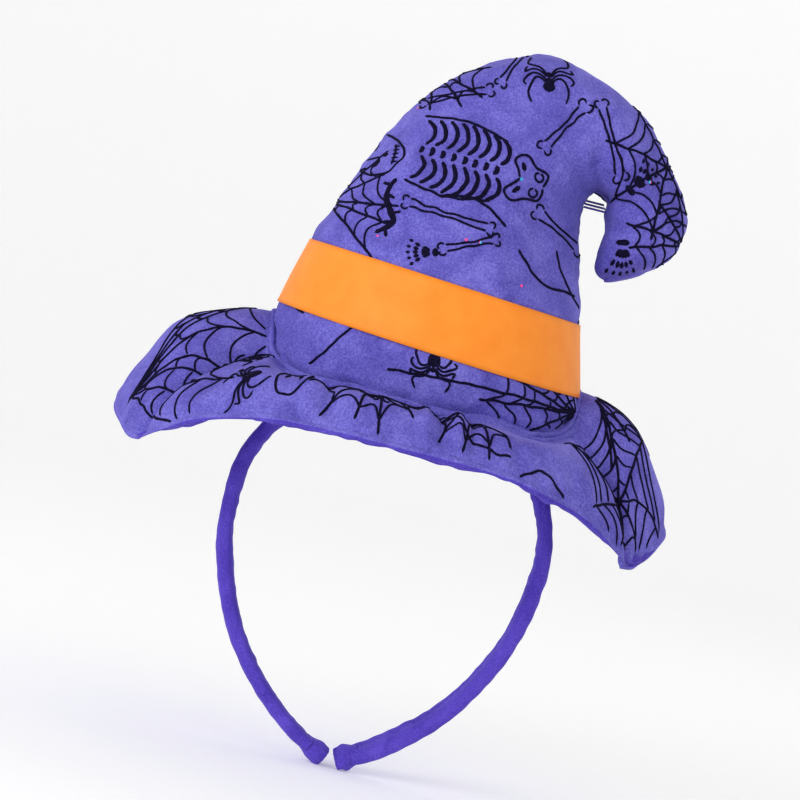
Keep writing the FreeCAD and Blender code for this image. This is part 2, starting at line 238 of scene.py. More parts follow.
def velour(name, deep, mid, light, uses_flat=False):
    """Short-pile polyester velour. The pile leans in patches, so the colour drifts between a deep and a light
    shade; single tufts give the grain; sheen stands for the lit tips of the pile. The pattern lies in the
    piece's own space, or with `uses_flat` on the cloth laid flat."""
    material, tree, out = new_material(name)
    if uses_flat:
        flat = add(tree, "ShaderNodeUVMap", uv_map="cloth_mm")
        source = add(tree, "ShaderNodeVectorMath", {0: flat.outputs[0], 1: (MM, MM, MM)}, operation="MULTIPLY")
        place = source.outputs[0]
    else:
        place = add(tree, "ShaderNodeTexCoord").outputs["Object"]
    patch = add(tree, "ShaderNodeTexNoise", {"Vector": place, "Scale": 1 / PATCH, "Detail": 3.0,
                                             "Roughness": 0.6, "Distortion": 0.6})
    tuft = add(tree, "ShaderNodeTexNoise", {"Vector": place, "Scale": 1 / TUFT, "Detail": 2.0})
    mixed = add(tree, "ShaderNodeMath", {0: patch.outputs[0], 1: tuft.outputs[0]}, operation="ADD")
    halved = add(tree, "ShaderNodeMath", {0: mixed.outputs[0], 1: 0.5}, operation="MULTIPLY")
    ramp = add(tree, "ShaderNodeValToRGB", {"Fac": halved.outputs[0]})
    ramp.color_ramp.elements[0].position = 0.34
    ramp.color_ramp.elements[0].color = linear(deep)
    ramp.color_ramp.elements[1].position = 0.66
    ramp.color_ramp.elements[1].color = linear(light)
    ramp.color_ramp.elements.new(0.5).color = linear(mid)
    crease = add(tree, "ShaderNodeTexNoise", {"Vector": place, "Scale": 1 / WRINKLE, "Detail": 2.0})
    soft = add(tree, "ShaderNodeBump", {"Strength": 0.35, "Distance": 0.0006, "Height": crease.outputs[0]})
    relief = add(tree, "ShaderNodeBump", {"Strength": 0.55, "Distance": 0.0004, "Height": tuft.outputs[0],
                                          "Normal": soft.outputs[0]})
    pile = add(tree, "ShaderNodeBsdfPrincipled", {
        "Base Color": ramp.outputs[0], "Roughness": 0.95, "IOR": 1.45, "Specular IOR Level": 0.15,
        "Sheen Weight": 0.35, "Sheen Roughness": 0.45, "Sheen Tint": linear("#a9a2ee"),
        "Normal": relief.outputs[0]})
    tree.links.new(pile.outputs[0], out.inputs[0])
    return material


plain_velour = velour("plain_purple_velour", "#40309a", "#4f3fae", "#6151c2")
band_velour = velour("band_purple_velour", "#4632a0", "#5542b6", "#6752c8", uses_flat=True)


def band_line(length):
    """The right half of the band's centre line: three arcs that run into each other, over the head, round the
    temple and in along the leg. Gives the point (x, z) and the outward direction at each length from the
    top."""
    shift = BAND_TOP_RADIUS - SIDE_RADIUS
    top_centre = np.array([0, BAND_THICK / 2 - BAND_TOP_RADIUS])
    side_centre = top_centre + shift * np.array([math.sin(BAND_TOP_ANGLE), math.cos(BAND_TOP_ANGLE)])
    leg_centre = np.array([BAND_HALF_SPAN - BAND_LEG_RADIUS, side_centre[1]])
    centres = np.array([top_centre, side_centre, leg_centre])
    radii = np.array([BAND_TOP_RADIUS, SIDE_RADIUS, BAND_LEG_RADIUS])
    first = np.array([0, BAND_TOP_ANGLE, math.pi / 2])
    starts = np.array([0, radii[0] * first[1], radii[0] * first[1] + radii[1] * (first[2] - first[1])])
    arc = np.searchsorted(starts[1:], length, side="right")
    angle = first[arc] + (length - starts[arc]) / radii[arc]
    outward = np.stack([np.sin(angle), np.cos(angle)], -1)
    return centres[arc] + radii[arc][:, None] * outward, outward


def band_frame(length, side, turned):
    """Centre, outward and sideways directions along one half of the band (side is -1 or 1). `turned` is how
    far the cover has turned on the strip, in radians, at each length."""
    centre, outward = band_line(length)
    zero = np.zeros(len(length))
    middle = np.stack([side * centre[:, 0], zero, centre[:, 1]], -1)
    out = np.stack([side * outward[:, 0], zero, outward[:, 1]], -1)
    across = np.tile([0.0, 1.0, 0.0], (len(length), 1))
    cosine, sine = np.cos(turned)[:, None], np.sin(turned)[:, None]
    return middle, out * cosine + across * sine, across * cosine - out * sine


def band_cover(name, side, turn):
    """One half of the cover: a rounded oblong profile carried along the band. The profile is a superellipse
    of power 3; a sewn groove with its stitches runs down the middle of its inner face, and wrinkles cross the
    bends."""
    length = np.linspace(0, HALF_BAND - 1.0, 260)
    around = np.linspace(0, 2 * np.pi, 56, endpoint=False)
    turned = turn * ease(length, 60, HALF_BAND)
    middle, out, across = band_frame(length, side, turned)
    cosine, sine = np.cos(around), np.sin(around)
    high = np.sign(cosine) * np.abs(cosine) ** (2 / 3)
    wide = np.sign(sine) * np.abs(sine) ** (2 / 3)
    along = np.broadcast_to(length[:, None], (len(length), len(around)))
    ring = np.broadcast_to(around, along.shape)
    seat = np.stack([along, 6 * np.cos(ring), 6 * np.sin(ring)], -1)
    swell = 0.30 * soft_noise(seat, 26, 11 + side) + 0.16 * soft_noise(seat * [1, 0.35, 0.35], 6.5, 21 + side)
    stitches = 0.75 + 0.25 * np.cos(2 * np.pi * along / SEAM_STITCH)
    swell -= 0.45 * bump_at((ring - np.pi) * 4, 0, 0.55) * stitches
    swell += 0.22 * bump_at(ring, np.pi, 0.55) * soft_noise(seat * [1, 0.1, 0.1], 4.2, 31 + side)
    swell -= 0.45 * ease(along, HALF_BAND - 9, HALF_BAND)
    radial = out[:, None] * cosine[None, :, None] + across[:, None] * sine[None, :, None]
    points = (middle[:, None] + out[:, None] * (high * BAND_THICK / 2)[None, :, None]
              + across[:, None] * (wide * BAND_WIDE / 2)[None, :, None] + radial * swell[..., None])
    girth = 2 * (BAND_THICK + BAND_WIDE) * np.linspace(0, 1, len(around) + 1)
    flat = np.stack(np.broadcast_arrays(length[:, None] * side, girth[None]), -1)
    return link_piece(name, grid_mesh(name, points, wrap=True, flat=flat, flip=side > 0), band_velour)


def finish_smooth(piece):
    """One level of subdivision, the same in the view and in the render."""
    smooth = piece.modifiers.new("smooth", "SUBSURF")
    smooth.levels = smooth.render_levels = 1


COVER_TURN = {"left": math.radians(-3), "right": math.radians(19)}
for hand, side in (("left", -1), ("right", 1)):
    cover = band_cover("band_cover_" + hand, side, COVER_TURN[hand])
    finish_smooth(cover)
    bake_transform(cover)
    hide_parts("band_sleeve_" + hand, *(["band_sleeve_bridge"] if hand == "left" else []))


# ==== Headband: gathered ends ===============================================================================
# The end of each cover is folded over the strip, gathered on a thread and pulled shut, which leaves a small
# knob with pleats. The left knob is round; the right one is folded into two lobes.
def end_knob(name, side, lobes):
    """A closed knob: rings carried on past the end of the band. Its size along the way is a neck, a swelling
    and a round end, and pleats, waves round the ring, deepen towards the middle of the end."""
    t = np.linspace(0, 1, 40)
    around = np.linspace(0, 2 * np.pi, 64, endpoint=False)
    reach = -4.0 + (9.0 if lobes else 10.2) * np.sin(t * np.pi / 2)
    size = 0.72 + 0.36 * ease(t, 0.0, 0.45)
    size = size * np.sqrt(np.clip(1 - np.clip((t - 0.25) / 0.75, 0, 1) ** 3.2, 0, 1))
    turned = COVER_TURN["left" if side < 0 else "right"]
    middle, out, across = band_frame(np.full(len(t), HALF_BAND), side, np.full(len(t), turned))
    forward = np.cross(across, out)
    forward = forward * np.sign(-forward[:, 2:3])       # the legs end pointing down
    cosine, sine = np.cos(around), np.sin(around)
    pleat = 1 + 0.10 * ease(t, 0.3, 1.0)[:, None] * np.cos(9 * around + 0.8 * np.sin(2 * around))[None]
    seat = np.stack(np.broadcast_arrays(t[:, None] * 8, 4 * cosine[None], 4 * sine[None]), -1)
    pleat = pleat + 0.035 * soft_noise(seat, 3.0, 41 + side)
    high = (BAND_THICK / 2 + (1.5 if lobes else 0.9)) * cosine[None] * size[:, None] * pleat
    wide = (BAND_WIDE / 2) * sine[None] * size[:, None] * pleat
    if lobes:
        split = 1 - 0.34 * bump_at(t, 0.62, 0.16)[:, None] * ease(np.abs(cosine), 0.2, 0.9)[None]
        high = high * split
    points = (middle[:, None] + forward[:, None] * reach[:, None, None] + out[:, None] * high[..., None]
              + across[:, None] * wide[..., None])
    flat = np.stack(np.broadcast_arrays(reach[:, None], np.linspace(0, 36, len(around) + 1)[None]), -1)
    mesh = grid_mesh(name, points, wrap=True, flat=flat, flip=side > 0, close=True)
    piece = link_piece(name, mesh, band_velour)
    finish_smooth(piece)
    return piece


for hand, side in (("left", -1), ("right", 1)):
    knob = end_knob("band_end_" + hand, side, lobes=side > 0)
    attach(knob, hand + "_leg")
    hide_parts("band_end_wrap_" + hand)


# ==== Brim ==================================================================================================
# Two oval discs of velour, printed above and plain below, sewn edge to edge and turned, with a thin wadding
# between them. The ends and the front and back hang down, and the front is tacked, which gathers it into
# small tucks.
BRIM_X, BRIM_LONG, BRIM_DEEP, BRIM_THICK = -4.5, 102.5, 80.0, 13.0
BRIM_Z = 13.4
WING_DROP, FLAP_DROP, WING_TWIST = 38.0, 27.0, 2.4
FOOT_LONG, FOOT_DEEP = 60.0, 51.5       # half lengths of the oval where the crown stands on the brim
BRIM_INNER = 0.40       # the upper cloth starts here, under the crown, as a part of the oval's size
BRIM_CROWDING = 1.6     # how much closer together the rings are towards the edge seam
CORNER_X = 54           # distance of the crown's front corners from the middle


def brim_height(x, y):
    """Height of the middle of the brim: its ends fall with the sixth power of x, its front and back as a
    cosine of y, and more so towards the ends."""
    u = (x - BRIM_X) / BRIM_LONG
    v = np.clip(y / BRIM_DEEP, -1, 1)
    return BRIM_Z - WING_DROP * u ** 6 - FLAP_DROP / 2 * (1 - np.cos(np.pi * v)) * (1 + WING_TWIST * u ** 4)


def front_hollow(x, y):
    """How far the brim is drawn down beside the crown, in mm: a hollow along the front of the crown's seam,
    deepest at its two corners, that runs on outwards into each hanging end and fades there."""
    away = np.abs(x)
    seam = -FOOT_DEEP * np.sqrt(1 - (np.minimum(away, CORNER_X) / FOOT_LONG) ** 2)
    line = np.where(away < CORNER_X, seam, -22.4 - 0.5 * (away - CORNER_X))
    deep = (4.0 + 7.0 * ease(away, 20, 52)) * (1 - 0.7 * ease(away, 60, 95))
    wide = np.where(y > line, 11.0, 15.0)
    return deep * np.exp(-((y - line) / wide) ** 2)


def brim_surface(rho, angle, face):
    """A point of the brim on an oval of size rho: the middle surface, plus half the thickness above it (face
    1) or below it (face -1). The thickness closes to nothing at the edge seam, as the root of 1 - rho to the
    sixth. At the front the wadding is pushed up into a roll, and the edge seam curls down under it."""
    x = BRIM_X + BRIM_LONG * rho * np.cos(angle)
    y = BRIM_DEEP * rho * np.sin(angle)
    step = 0.5
    slope_x = (brim_height(x + step, y) - brim_height(x - step, y)) / (2 * step)
    slope_y = (brim_height(x, y + step) - brim_height(x, y - step)) / (2 * step)
    lean = np.minimum(1.5, np.sqrt(1 + slope_x ** 2 + slope_y ** 2))
    half = BRIM_THICK / 2 * np.sqrt(np.clip(1 - rho ** 6, 0, 1)) * lean
    roll = ease(-y, 40, 70) * (1 - ease(np.abs(x - BRIM_X), 50, 85)) * (1 - 1.5 * ease(rho, 0.88, 1.0))
    drawn = front_hollow(x, y) * (1.0 if face > 0 else 0.35) - (5.0 if face > 0 else 6.5) * roll
    return np.stack([x, y, brim_height(x, y) - drawn + face * half], -1)


def grid_normals(points, wrap):
    """Unit normals of a grid of points, from the differences of its neighbours."""
    du = np.gradient(points, axis=0)
    dv = (np.roll(points, -1, 1) - np.roll(points, 1, 1)) if wrap else np.gradient(points, axis=1)
    normal = np.cross(dv, du)
    return normal / np.maximum(np.linalg.norm(normal, axis=-1, keepdims=True), 1e-9)


def brim_folds(points, rho, face):
    """How far the stuffed cloth stands out of its smooth shape, in mm: soft lumps, puckers along the edge
    seam, tucks at the front, and the creases where the front roll parts from each hanging end."""
    x, y = points[..., 0], points[..., 1]
    depth = (1 - rho) * 90
    puckers = (0.55 * np.exp(-depth / 7) * soft_noise(points * [1, 1, 0.2], 7.5, 52)
               - 0.9 * np.exp(-(depth / 1.6) ** 2))
    rise = 0.9 * soft_noise(points, 34, 51 + face) + puckers * ease(depth, 0.0, 0.8)
    if face > 0:
        front = ease(-y, 50, 62)
        for place, width, height in ((2.0, 1.8, 1.9), (8.0, 1.7, -2.6), (13.0, 1.8, 2.3), (18.5, 1.5, -1.9),
                                     (-38.0, 3.0, 1.5), (-31.0, 2.0, -2.0), (-17.0, 2.2, -1.0),
                                     (36.0, 2.4, -1.3), (58.0, 2.6, -1.8), (66.0, 3.0, 1.2)):
            rise = rise + height * front * bump_at(x + 0.12 * (y + 60), place, width) * ease(depth, 1, 5)
        for side in (-1, 1):
            line = -24 - 0.5 * (side * x - CORNER_X) + 1.2 * np.sin(x / 5.0)
            along = ease(side * x, 50, 60) * (1 - ease(side * x, 82, 97))
            rise = rise + along * (-3.4 * bump_at(y, line, 2.8) + 1.6 * bump_at(y, line - 9, 6))
    return rise


def brim_panel(face):
    """Points of the upper (face 1) or under (face -1) disc of the brim, on rings from its middle to the edge
    seam, closer together towards the seam."""
    inner = BRIM_INNER if face > 0 else 0.0
    t = np.linspace(0, 1, 110)
    rho = inner + (1 - inner) * (1 - (1 - t) ** BRIM_CROWDING)
    angle = np.linspace(0, 2 * np.pi, 480, endpoint=False)
    rho, angle = np.meshgrid(rho, angle, indexing="ij")
    points = brim_surface(rho, angle, face)
    normal = grid_normals(points, True)
    normal = normal * np.sign(np.sum(normal * [0, 0, face], -1, keepdims=True) + 1e-9)
    return points + normal * brim_folds(points, rho, face)[..., None]


def seal_edge(upper, lower):
    """Both discs meet in one line at the edge seam, halfway between their last rings."""
    seam = (upper[-1] + lower[-1]) / 2
    upper[-1] = lower[-1] = seam


printed_velour = velour("printed_purple_velour", "#4c459c", "#635cba", "#7d77d2")
brim_top_points, brim_under_points = brim_panel(1), brim_panel(-1)
seal_edge(brim_top_points, brim_under_points)
brim_top_mesh = grid_mesh("brim_top_cloth", brim_top_points, wrap=True, flip=True)
brim_top = link_piece("brim_top_cloth", brim_top_mesh, printed_velour)
brim_under_mesh = grid_mesh("brim_under_cloth", brim_under_points, wrap=True, close=True)
brim_under = link_piece("brim_under_cloth", brim_under_mesh, plain_velour)
for piece, nodes, slot in ((brim_top, ("brim_top_panel", "brim_wadding"), "printed_plush"),
                           (brim_under, ("brim_under_panel",), "plain_plush")):
    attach(piece, "hat")
    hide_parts(*nodes)


# ==== Crown =================================================================================================
# Front and back panels of printed velour, sewn along both sides, turned and packed with polyester fibre. The
# tip is bent over and tacked beside the crown, so the cloth creases in a fan from the top of the fold.
# Each section: x and height of the long side, x and height of the short side, and half the depth. Heights are
# over the brim's middle.
CROWN_SECTIONS = np.array([
    [-59.5, -34.0, 60.5, -34.0, 51.5],
    [-60.0, -16.0, 58.8, -16.0, 51.5],
    [-59.3, 2.0, 56.0, 1.0, 51.0],
    [-55.5, 23.0, 51.3, 20.0, 48.5],
    [-49.5, 43.0, 46.0, 40.0, 44.5],
    [-41.5, 64.0, 41.5, 58.0, 39.5],
    [-30.0, 87.0, 40.4, 69.5, 34.5],
    [-9.5, 110.5, 42.0, 74.5, 30.0],
    [19.0, 119.8, 44.5, 76.0, 26.5],
    [45.5, 111.0, 47.0, 74.5, 23.5],
    [64.5, 96.5, 49.0, 69.0, 20.5],
    [76.5, 80.5, 49.6, 61.5, 18.0],
    [79.5, 68.0, 49.8, 53.5, 15.5],
    [75.5, 58.0, 50.8, 48.0, 11.0],
    [68.5, 52.5, 54.5, 46.5, 5.5],
])


def spline(knots, values, at):
    """Natural cubic spline through values at knots, worked out at other places: the second derivatives come
    from the usual three-term equations, solved together."""
    n, gap = len(knots), np.diff(knots)
    system = np.eye(n)
    right = np.zeros((n, values.shape[1]))
    for i in range(1, n - 1):
        system[i, i - 1:i + 2] = gap[i - 1], 2 * (gap[i - 1] + gap[i]), gap[i]
        right[i] = 6 * ((values[i + 1] - values[i]) / gap[i] - (values[i] - values[i - 1]) / gap[i - 1])
    curve = np.linalg.solve(system, right)
    k = np.clip(np.searchsorted(knots, at) - 1, 0, n - 2)
    h, a, b = gap[k][:, None], (knots[k + 1] - at)[:, None], (at - knots[k])[:, None]
    return (curve[k] * a ** 3 + curve[k + 1] * b ** 3) / (6 * h) + (values[k] / h - curve[k] * h / 6) * a \
        + (values[k + 1] / h - curve[k + 1] * h / 6) * b


outer_steps = np.linalg.norm(np.diff(CROWN_SECTIONS[:, 0:2], axis=0), axis=1)
inner_steps = np.linalg.norm(np.diff(CROWN_SECTIONS[:, 2:4], axis=0), axis=1)
crown_knots = np.concatenate([[0], np.cumsum((outer_steps + inner_steps) / 2)])


def crown_surface(v, angle, stand=0.0):
    """A point of the crown: v is the place along it, angle goes round from the long side (0) by the back to
    the short side (180 degrees) and the front (270). The ring at v is an oval; `stand` makes it bigger all
    round."""
    shape = spline(crown_knots, CROWN_SECTIONS, v.ravel()).reshape(*v.shape, 5)
    long_side = np.stack([shape[..., 0], 0 * v, shape[..., 1] + BRIM_Z], -1)
    short_side = np.stack([shape[..., 2], 0 * v, shape[..., 3] + BRIM_Z], -1)
    half = (long_side - short_side) / 2
    size = np.linalg.norm(half, axis=-1, keepdims=True)
    half = half * (1 + np.asarray(stand)[..., None] / size) if np.ndim(stand) else half * (1 + stand / size)
    deep = (shape[..., 4] + stand)[..., None] * np.array([0.0, 1.0, 0.0])
    return (long_side + short_side) / 2 + half * np.cos(angle)[..., None] + deep * np.sin(angle)[..., None]


def brim_top_height(x, y):
    """Height of the brim's smooth upper face over a place."""
    rho = np.sqrt(((x - BRIM_X) / BRIM_LONG) ** 2 + (y / BRIM_DEEP) ** 2)
    angle = np.arctan2(y / BRIM_DEEP, (x - BRIM_X) / BRIM_LONG)
    return brim_surface(rho, angle, 1)[..., 2]


CROWN_COLUMNS, CROWN_ROWS = 360, 230
crown_angle = np.linspace(0, 2 * np.pi, CROWN_COLUMNS, endpoint=False)
low, high = np.full(CROWN_COLUMNS, 0.0), np.full(CROWN_COLUMNS, 70.0)
for halving in range(30):
    middle = (low + high) / 2
    spot = crown_surface(middle, crown_angle)
    under = spot[:, 2] < brim_top_height(spot[:, 0], spot[:, 1])
    low, high = np.where(under, middle, low), np.where(under, high, middle)
crown_foot = (low + high) / 2          # where each column of the crown meets the brim

t = np.linspace(0, 1, CROWN_ROWS)[:, None]
crown_v = crown_foot + t * (crown_knots[-1] - crown_foot)
crown_a = np.broadcast_to(crown_angle, crown_v.shape)
crown_smooth = crown_surface(crown_v, crown_a)
FRONT_SPOT = (40, 270)      # row and column of a point low on the crown's front


def turned_outward(normals):
    """The crown's normals, all turned over if the one at its front doesn't point forwards."""
    return normals * np.sign(-normals[FRONT_SPOT][1])


smooth_normals = turned_outward(grid_normals(crown_smooth, True))
smooth_normals[-1] = smooth_normals[-2]

RIBBON_WIDE, RIBBON_MID, RIBBON_ROLL, RIBBON_PITCH = 25.0, 18.6, math.radians(3.5), math.radians(3.0)
ribbon_up = np.array([math.sin(RIBBON_ROLL), -math.sin(RIBBON_PITCH), 1.0])
ribbon_up /= np.linalg.norm(ribbon_up)


def over_ribbon_middle(points):
    """Distance above the middle plane of the ribbon, in mm."""
    return (points - [0, 0, BRIM_Z + RIBBON_MID]) @ ribbon_up


FOLD_TOP = np.array([42.5, 88.5])
FOLD_CREASES = ((97, 22, 1.4), (118, 15, 1.0), (150, 17, 1.2), (172, 12, 0.8), (76, 14, 1.0), (52, 12, 0.9),
                (-12, 26, 1.3), (16, 13, 0.8))       # direction in degrees, length in mm, depth in mm


def crown_folds(points, angle):
    """How far the stuffed cloth stands out of its smooth shape, in mm: soft lumps, sewn grooves with puckers
    down both sides, a fan of creases from the fold and a waist under the ribbon."""
    lumps = 1.1 * soft_noise(points, 42, 61) + 0.35 * soft_noise(points, 15, 62)
    off_seam = np.minimum(np.abs(np.sin(angle / 2)), np.abs(np.cos(angle / 2))) * 2 * 42
    girth = ease(points[..., 2], 30, 100)
    seam = -1.3 * np.exp(-(off_seam / 1.5) ** 2) + 0.55 * np.exp(-off_seam / 6) * soft_noise(points, 6.5, 63)
    x, z = points[..., 0] - FOLD_TOP[0], points[..., 2] - FOLD_TOP[1]
    creases = 0
    for degrees, length, depth in FOLD_CREASES:
        c, s = math.cos(math.radians(degrees)), math.sin(math.radians(degrees))
        ahead, aside = x * c + z * s, z * c - x * s
        width = 1.0 + 0.12 * np.clip(ahead, 0, None)
        fade = ease(ahead, 0, 4) * (1 - ease(ahead, length * 0.4, length))
        banks = 0.5 * bump_at(np.abs(aside), 2 * width, width)
        creases = creases + depth * (banks - bump_at(aside, 0, width)) * fade
    rise = over_ribbon_middle(points)
    waist = 0.9 * bump_at(np.abs(rise), RIBBON_WIDE / 2 + 5, 5) - 0.6 * (1 - ease(np.abs(rise), 9, 14))
    return lumps * ease(np.abs(rise), 8, 20) + seam * (0.4 + 0.6 * girth) + creases + waist


foot_depth = np.linalg.norm(crown_smooth - crown_smooth[:1], axis=-1)
foot = -1.6 * np.exp(-(foot_depth / 2.2) ** 2) + 0.5 * np.exp(-foot_depth / 6) * soft_noise(crown_smooth, 9, 64)
crown_out = crown_folds(crown_smooth, crown_a) + foot
crown_points = crown_smooth + smooth_normals * crown_out[..., None]


def round_tip(points, rows, reach):
    """Closes the tip: rings that shrink to one point, along a quarter circle, beyond the last ring of the
    crown."""
    last = points[-1]
    centre = last.mean(0)
    ahead = centre - points[-6].mean(0)
    ahead /= np.linalg.norm(ahead)
    turn = np.linspace(0, np.pi / 2, rows + 1)[1:, None, None]
    return np.concatenate([points, centre + (last - centre) * np.cos(turn) + ahead * reach * np.sin(turn)])


crown_closed = round_tip(crown_points, rows=10, reach=2.6)
crown_mesh = grid_mesh("crown_cloth", crown_closed, wrap=True, close=True)
crown = link_piece("crown_cloth", crown_mesh, printed_velour)
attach(crown, "hat")
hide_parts("crown_front_panel", "crown_back_panel", "crown_stuffing")


# ==== Crown hem =============================================================================================
# Where the crown is sewn down, its edge and the brim's are turned in, which leaves two thin rolls of velour
# side by side, puckered by the stitches.
def hem_roll(name, stand, drop, thick, seed):
    """A closed roll along the foot of the crown: a ring of radius `thick`, uneven along its length, carried
    round a line that stands off the crown by `stand` and below its foot by `drop`."""
    line = crown_surface(crown_foot, crown_angle, stand) - [0, 0, drop]
    line = (line + np.roll(line, 1, 0) + np.roll(line, -1, 0)) / 3
    ahead = np.roll(line, -1, 0) - np.roll(line, 1, 0)
    ahead /= np.linalg.norm(ahead, axis=1, keepdims=True)
    out = np.cross(ahead, [0.0, 0.0, 1.0])
    out /= np.linalg.norm(out, axis=1, keepdims=True)
    up = np.cross(out, ahead)
    around = np.linspace(0, 2 * np.pi, 14, endpoint=False)
    ring = thick * (1 + 0.16 * soft_noise(line, 5, seed))[:, None]
    line = line + 0.35 * soft_noise(line, 9, seed + 1)[:, None] * up
    points = (line[:, None] + out[:, None] * (ring * np.cos(around))[..., None]
              + up[:, None] * (ring * np.sin(around))[..., None])
    closed = np.concatenate([points, points[:1]])
    piece = link_piece(name, grid_mesh(name, closed, wrap=True, close=True), printed_velour)
    finish_smooth(piece)
    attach(piece, "hat")
    return piece


upper_hem = hem_roll("crown_hem_upper", stand=0.3, drop=0.2, thick=1.15, seed=91)
hem_roll("crown_hem_lower", stand=1.9, drop=1.5, thick=1.2, seed=95)
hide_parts("crown_hem_welt")


# ==== Flocked print =========================================================================================
# Near-black nylon flock, glued on the velour in lines about a millimetre wide that stand a little proud of
# the pile. It shows bones, spiders and webs. The crown's two panels are printed flat, so the lines stop at
# the side seams.
flock_black, tree, out = new_material("nylon_flock_black")
grain = add(tree, "ShaderNodeTexCoord")
fibre = add(tree, "ShaderNodeTexNoise", {"Vector": grain.outputs["Object"], "Scale": 1 / (0.5 * MM),
                                         "Detail": 3.0})
tone = add(tree, "ShaderNodeValToRGB", {"Fac": fibre.outputs[0]})
tone.color_ramp.elements[0].position = 0.35
tone.color_ramp.elements[0].color = linear("#080616")
tone.color_ramp.elements[1].position = 0.75
tone.color_ramp.elements[1].color = linear("#19143a")
relief = add(tree, "ShaderNodeBump", {"Strength": 0.6, "Distance": 0.0003, "Height": fibre.outputs[0]})
fuzz = add(tree, "ShaderNodeBsdfPrincipled", {"Base Color": tone.outputs[0], "Roughness": 0.95, "IOR": 1.45,
                                              "Specular IOR Level": 0.1, "Normal": relief.outputs[0]})
tree.links.new(fuzz.outputs[0], out.inputs[0])
LINE = 1.0          # usual width of a printed line, mm
LINE_HIGH = 0.42    # how far it stands above the cloth, mm
STEP = 0.7          # distance between the rings of a line, mm


def curve(points, width=LINE, taper=0.0):
    """A printed line: a smooth curve through points, as rows of x, z and width every STEP. `taper` narrows
    its ends, and 1 makes it a pointed oval: the width times the root of 1 - t squared."""
    points = np.asarray(points, float)
    chord = np.concatenate([[0], np.cumsum(np.linalg.norm(np.diff(points, axis=0), axis=1))])
    at = np.linspace(0, chord[-1], max(4, int(chord[-1] / STEP) + 1))
    straight = points[0] + at[:, None] / chord[-1] * (points[1] - points[0])
    path = spline(chord, points, at) if len(points) > 2 else straight
    t = np.linspace(-1, 1, len(at))
    wide = width * (1 - taper + taper * np.sqrt(np.clip(1 - t * t, 0.01, 1)))
    return np.column_stack([path, wide])


def turned_by(lines, place, degrees=0.0, size=1.0, flip=1):
    """Lines made bigger, mirrored, turned and moved to a place; their widths stay."""
    c, s = math.cos(math.radians(degrees)), math.sin(math.radians(degrees))
    matrix = np.array([[c, s], [-s, c]])
    return [np.column_stack([(line[:, :2] * size * [flip, 1]) @ matrix + place, line[:, 2]]) for line in lines]


def web(place, reach, spokes, rings=5, first=0.0, spread=360.0, seed=0):
    """A cobweb: spokes of uneven length from a place, and rings of threads that sag towards it between
    them."""
    chance = np.random.default_rng(seed)
    whole = spread == 360.0
    angle = np.radians(first + np.linspace(0, spread, spokes, endpoint=not whole)
                       + chance.uniform(-5, 5, spokes))
    length = reach * chance.uniform(0.85, 1.15, spokes)
    ray = np.column_stack([np.cos(angle), np.sin(angle)])
    lines = [curve([[0, 0], ray[k] * length[k] * 0.5 + chance.uniform(-0.4, 0.4, 2), ray[k] * length[k]])
             for k in range(spokes)]
    for k in range(spokes if whole else spokes - 1):
        after = (k + 1) % spokes
        for part in (np.arange(rings) + 0.8) / (rings + 0.3) + chance.uniform(-0.03, 0.03, rings):
            one, two = ray[k] * length[k] * part, ray[after] * length[after] * part
            lines.append(curve([one, (one + two) / 2 * 0.86, two], 0.8))
    lines.append(curve([[-1.2, 0], [0, 0.3], [1.2, 0]], 2.6, 0.8))
    return turned_by(lines, place)


def spider(place, size=1.0, degrees=0.0):
    """A spider: a round body, a small head and eight bent legs."""
    lines = [curve([[0, -3.6], [0, 0.4], [0, 2.6]], 4.6, 1.0), curve([[0, 2.2], [0, 4.8]], 2.8, 0.9)]
    for side in (-1, 1):
        for lift, reach, drop in ((3.2, 7.0, 9.0), (2.4, 9.0, 4.2), (1.4, 9.2, -2.0), (0.4, 7.4, -7.6)):
            lines.append(curve([[side * 0.8, lift], [side * reach * 0.55, lift + 2.6 + drop * 0.1],
                                [side * reach, lift + drop * 0.45], [side * reach * 0.86, lift + drop]],
                               0.9, 0.3))
    return turned_by(lines, place, degrees, size)


def bone(one, two, thick=3.6):
    """A long bone in outline: two sides, drawn in at the middle, and a double knob at each end."""
    one, two = np.asarray(one, float), np.asarray(two, float)
    length = np.linalg.norm(two - one)
    half = thick / 2
    lines = []
    for side in (-1, 1):
        lines.append(curve([[half * 0.9, side * half * 0.9], [length * 0.3, side * half * 0.55],
                            [length * 0.7, side * half * 0.55], [length - half * 0.9, side * half * 0.9]],
                           0.85))
        for end, out_of in ((0, -1), (length, 1)):
            lines.append(curve([[end + out_of * half * reach, side * half * rise]
                                for reach, rise in ((-0.9, 0.9), (-0.2, 1.5), (0.7, 1.1), (0.35, 0.15))], 0.85))
    return turned_by(lines, one, math.degrees(math.atan2(*(two - one)[::-1])))


def ribs(place, degrees=0.0, pairs=8, pitch=3.9, reach=13.0):
    """A rib cage seen from the side: vertebrae in a row, and a row of curved ribs above and below them."""
    lines = []
    for k in range(pairs):
        x = k * pitch
        lines.append(curve([[x - 1.1, -1.6], [x - 0.2, 0], [x - 1.0, 1.7]], 2.0, 0.7))
        tall = reach * (0.72 + 0.28 * math.sin(math.pi * (k + 1.5) / (pairs + 2)))
        for side in (-1, 1):
            lines.append(curve([[x, side * 2.2], [x + 2.2, side * tall * 0.42], [x + 1.4, side * tall * 0.8],
                                [x - 1.4, side * tall]], 1.7, 0.35))
    for side in (-1, 1):
        lines.append(curve([[-3, side * reach * 0.92], [pairs * pitch * 0.4, side * reach * 1.06],
                            [pairs * pitch * 0.9, side * reach * 0.8]], 1.0))
    return turned_by(lines, place, degrees)


